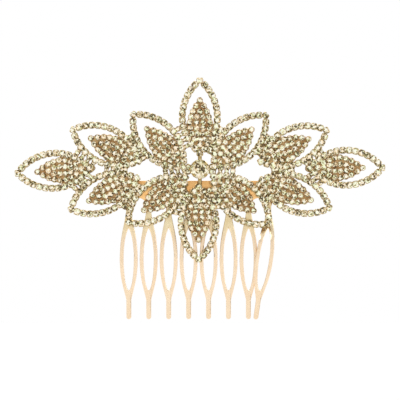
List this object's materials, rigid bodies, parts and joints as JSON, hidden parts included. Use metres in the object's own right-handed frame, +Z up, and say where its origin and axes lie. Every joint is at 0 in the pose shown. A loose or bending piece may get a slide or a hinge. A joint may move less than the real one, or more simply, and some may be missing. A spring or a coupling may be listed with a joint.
{
  "type": "decorative hair comb",
  "caption": "Gold comb with looped teeth, carrying an openwork ornament of leaf-shaped petals outlined and paved in rhinestones round a large round stone.",
  "frame": {"origin": "roots of the comb's teeth, in the middle of the ornament's length and of the comb sheet's thickness", "axes": "+X along the ornament, +Z up with the teeth pointing down, and the ornament's front faces -Y"},
  "size_m": [0.1199, 0.0083, 0.0784],
  "materials": {
    "gold_plating": "polished pale rose-gold plating on a stamped comb",
    "chain_plating": "gold-plated rhinestone cup chain, darker in its recesses",
    "cast_setting": "cast and plated stone setting",
    "rhinestone": "foil-backed faceted glass, pale champagne",
    "solder": "plated over solder, slightly rough"
  },
  "bodies": {
    "root": {"comb": "gold_plating", "top_cup_chain": "chain_plating", "top_chain_stones": "rhinestone", "top_leaf_setting": "cast_setting", "top_leaf_stones": "rhinestone", "bottom_cup_chain": "chain_plating", "bottom_chain_stones": "rhinestone", "bottom_leaf_setting": "cast_setting", "bottom_leaf_stones": "rhinestone", "upper_left_cup_chain": "chain_plating", "upper_left_chain_stones": "rhinestone", "upper_left_leaf_setting": "cast_setting", "upper_left_leaf_stones": "rhinestone", "upper_right_cup_chain": "chain_plating", "upper_right_chain_stones": "rhinestone", "upper_right_leaf_setting": "cast_setting", "upper_right_leaf_stones": "rhinestone", "lower_left_cup_chain": "chain_plating", "lower_left_chain_stones": "rhinestone", "lower_left_leaf_setting": "cast_setting", "lower_left_leaf_stones": "rhinestone", "lower_right_cup_chain": "chain_plating", "lower_right_chain_stones": "rhinestone", "lower_right_leaf_setting": "cast_setting", "lower_right_leaf_stones": "rhinestone", "outer_upper_left_cup_chain": "chain_plating", "outer_upper_left_chain_stones": "rhinestone", "outer_upper_left_leaf_setting": "cast_setting", "outer_upper_left_leaf_stones": "rhinestone", "outer_upper_right_cup_chain": "chain_plating", "outer_upper_right_chain_stones": "rhinestone", "outer_upper_right_leaf_setting": "cast_setting", "outer_upper_right_leaf_stones": "rhinestone", "outer_lower_left_cup_chain": "chain_plating", "outer_lower_left_chain_stones": "rhinestone", "outer_lower_left_leaf_setting": "cast_setting", "outer_lower_left_leaf_stones": "rhinestone", "outer_lower_right_cup_chain": "chain_plating", "outer_lower_right_chain_stones": "rhinestone", "outer_lower_right_leaf_setting": "cast_setting", "outer_lower_right_leaf_stones": "rhinestone", "end_left_cup_chain": "chain_plating", "end_left_chain_stones": "rhinestone", "end_left_leaf_setting": "cast_setting", "end_left_leaf_stones": "rhinestone", "end_right_cup_chain": "chain_plating", "end_right_chain_stones": "rhinestone", "end_right_leaf_setting": "cast_setting", "end_right_leaf_stones": "rhinestone", "centre_setting": "cast_setting", "centre_stone": "rhinestone", "comb_solder_left": "solder", "flower_solder_left": "solder", "upper_solder_left": "solder", "lower_solder_left": "solder", "comb_solder_right": "solder", "flower_solder_right": "solder", "upper_solder_right": "solder", "lower_solder_right": "solder", "comb_solder_centre": "solder"}
  },
  "joints": []
}
